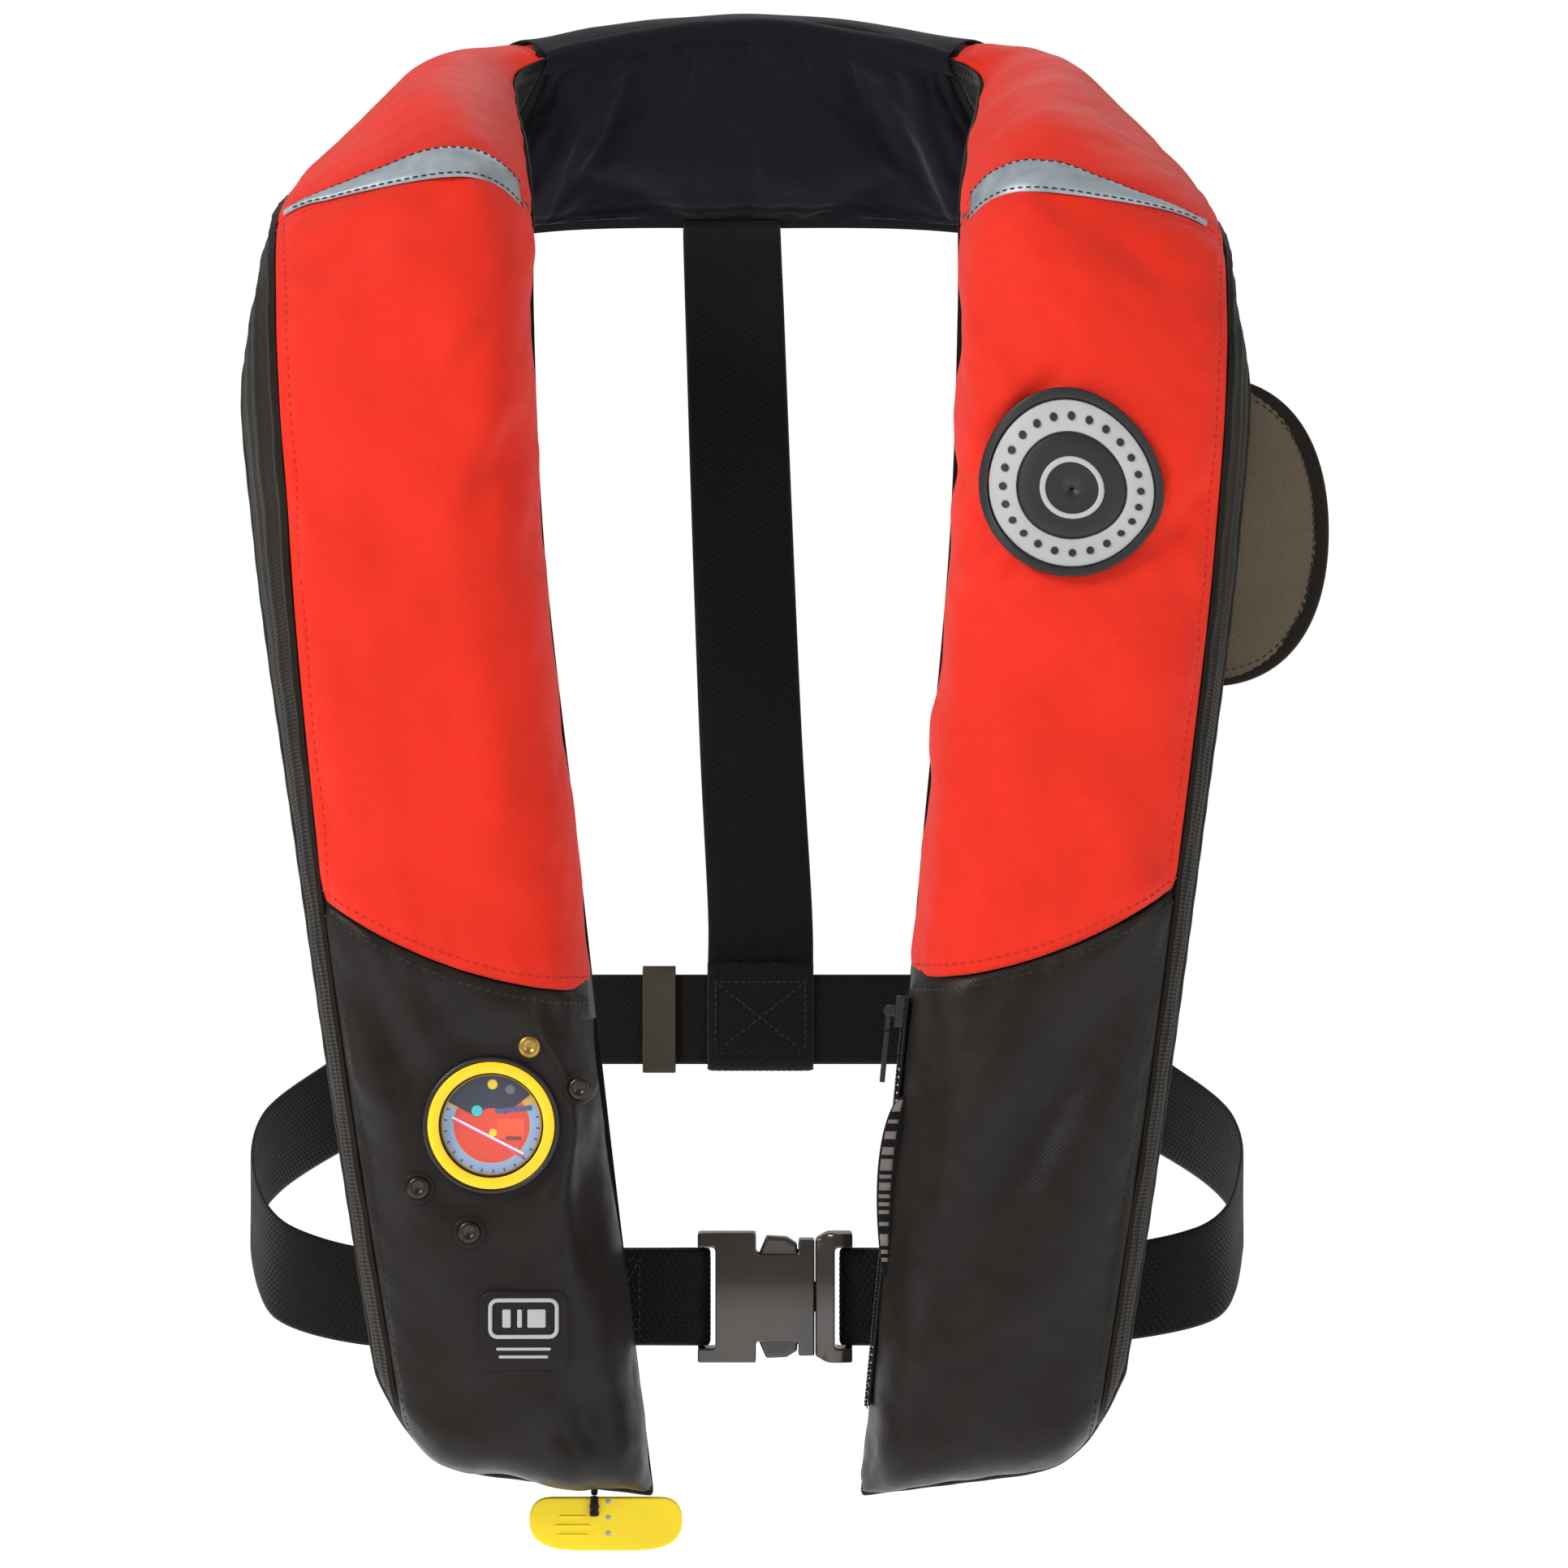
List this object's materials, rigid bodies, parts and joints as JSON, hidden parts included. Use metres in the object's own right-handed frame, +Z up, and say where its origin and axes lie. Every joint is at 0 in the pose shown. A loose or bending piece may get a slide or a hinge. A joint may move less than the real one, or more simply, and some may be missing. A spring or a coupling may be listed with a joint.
{
  "type": "inflatable life jacket",
  "caption": "Inflatable life jacket: a padded band round the neck with two chest lobes, a waist belt with a side-release buckle and a manual pull handle.",
  "frame": {"origin": "centre of the collar pad's face, where the jacket rests on the wearer's nape", "axes": "+Z up, the wearer faces -Y, the wearer's left is +X"},
  "size_m": [0.4308, 0.2413, 0.6187],
  "materials": {
    "red_fabric": "woven nylon, satin",
    "coated_fabric": "coated, soft sheen",
    "black_fabric": "woven nylon, matte",
    "neoprene": "knit-faced foam, matte",
    "trim_fabric": "ribbed, matte",
    "reflective_tape": "reflective, satin",
    "badge_rubber": "moulded, matte",
    "flap_fabric": "woven, matte",
    "webbing": "woven polyester webbing",
    "buckle_plastic": "moulded, semi-gloss",
    "yellow_plastic": "moulded, satin",
    "black_plastic": "moulded, satin",
    "clear_plastic": "clear",
    "dial_print": "printed",
    "bladder_fabric": "coated nylon",
    "steel": "satin",
    "brass": "satin",
    "orange_plastic": "moulded"
  },
  "bodies": {
    "jacket": {"right_chest_cover": "red_fabric", "left_chest_cover": "red_fabric", "right_shoulder_cover": "red_fabric", "left_shoulder_cover": "red_fabric", "nape_cover": "red_fabric", "right_lower_cover": "coated_fabric", "left_lower_cover": "coated_fabric", "right_edge_trim": "trim_fabric", "left_edge_trim": "trim_fabric", "right_back_panel": "black_fabric", "left_back_panel": "black_fabric", "yoke_panel": "black_fabric", "collar_pad": "neoprene", "right_reflective_tape": "reflective_tape", "left_reflective_tape": "reflective_tape", "badge_patch": "badge_rubber", "label_patch": "black_plastic", "window_bezel": "black_plastic", "window_ring": "yellow_plastic", "window_lens": "clear_plastic", "window_backing_ring": "black_plastic", "status_dial": "dial_print", "cover_snap_1": "brass", "cover_snap_2": "brass", "cover_snap_3": "brass", "cover_snap_4": "brass", "inflation_bladder": "bladder_fabric", "inflator_body": "black_plastic", "inflator_cap": "yellow_plastic", "gas_cylinder": "steel", "manifold_nut": "brass", "lever_pin": "steel", "oral_tube": "black_plastic", "whistle": "orange_plastic", "whistle_lanyard": "black_fabric", "back_strap": "webbing", "waist_belt_right": "webbing", "waist_belt_left": "webbing", "right_belt_loop": "webbing", "left_belt_loop": "webbing", "buckle_female": "buckle_plastic", "zipper_tape": "black_fabric", "zipper_coil": "black_plastic"},
    "release_handle": {"pull_handle": "yellow_plastic", "pull_cord": "black_fabric"},
    "release_lever": {"inflator_lever": "yellow_plastic"},
    "buckle_plug": {"buckle_male": "buckle_plastic", "front_strap_left": "webbing"},
    "upper_arm": {"buckle_arm_upper": "buckle_plastic"},
    "lower_arm": {"buckle_arm_lower": "buckle_plastic"},
    "zip_slider": {"zipper_slider": "black_plastic"},
    "zip_pull": {"zipper_pull": "black_plastic"},
    "flap": {"side_flap": "flap_fabric", "side_flap_binding": "trim_fabric"},
    "strap_slider": {"belt_slider": "buckle_plastic"},
    "valve_cap": {"oral_valve_cap": "yellow_plastic"}
  },
  "joints": [
    {"name": "handle_pull", "type": "slide", "parent": "jacket", "child": "release_handle", "axis": [0, 0, -1], "range_m": [0, 0.055]},
    {"name": "lever_turn", "type": "hinge", "parent": "jacket", "child": "release_lever", "pos_m": [-0.0841, -0.16305, -0.421], "axis": [0, 1, 0], "range_deg": [0, 60]},
    {"name": "plug_slide", "type": "slide", "parent": "jacket", "child": "buckle_plug", "axis": [1, 0, 0], "range_m": [0, 0.036], "deforming": ["buckle_arm_upper", "buckle_arm_lower"]},
    {"name": "upper_arm_squeeze", "type": "hinge", "parent": "buckle_plug", "child": "upper_arm", "pos_m": [0.027, -0.128, -0.4598], "axis": [0, -1, 0], "range_deg": [0, 12], "stiffness_Nm_per_rad": 0.3},
    {"name": "lower_arm_squeeze", "type": "hinge", "parent": "buckle_plug", "child": "lower_arm", "pos_m": [0.027, -0.128, -0.4842], "axis": [0, -1, 0], "range_deg": [-12, 0], "stiffness_Nm_per_rad": 0.3},
    {"name": "zip_run", "type": "slide", "parent": "jacket", "child": "zip_slider", "axis": [-0.0954, 0, -0.9954], "range_m": [0, 0.14]},
    {"name": "zip_pull_swing", "type": "hinge", "parent": "zip_slider", "child": "zip_pull", "pos_m": [0.05591, -0.153, -0.35826], "axis": [0, 1, 0], "range_deg": [0, 100]},
    {"name": "flap_fold", "type": "hinge", "parent": "jacket", "child": "flap", "pos_m": [0.182, -0.139, -0.171], "axis": [0, 0, 1], "range_deg": [0, 100]},
    {"name": "strap_slider_run", "type": "slide", "parent": "jacket", "child": "strap_slider", "axis": [-1, 0, 0], "range_m": [0, 0.03]},
    {"name": "valve_cap_lift", "type": "slide", "parent": "jacket", "child": "valve_cap", "axis": [0, 0, 1], "range_m": [0, 0.01]}
  ],
  "couplings": [
    {"joint": "lever_turn", "follows": "handle_pull", "rad_per_m": 19.04},
    {"joint": "lower_arm_squeeze", "follows": "upper_arm_squeeze", "ratio": -1}
  ]
}
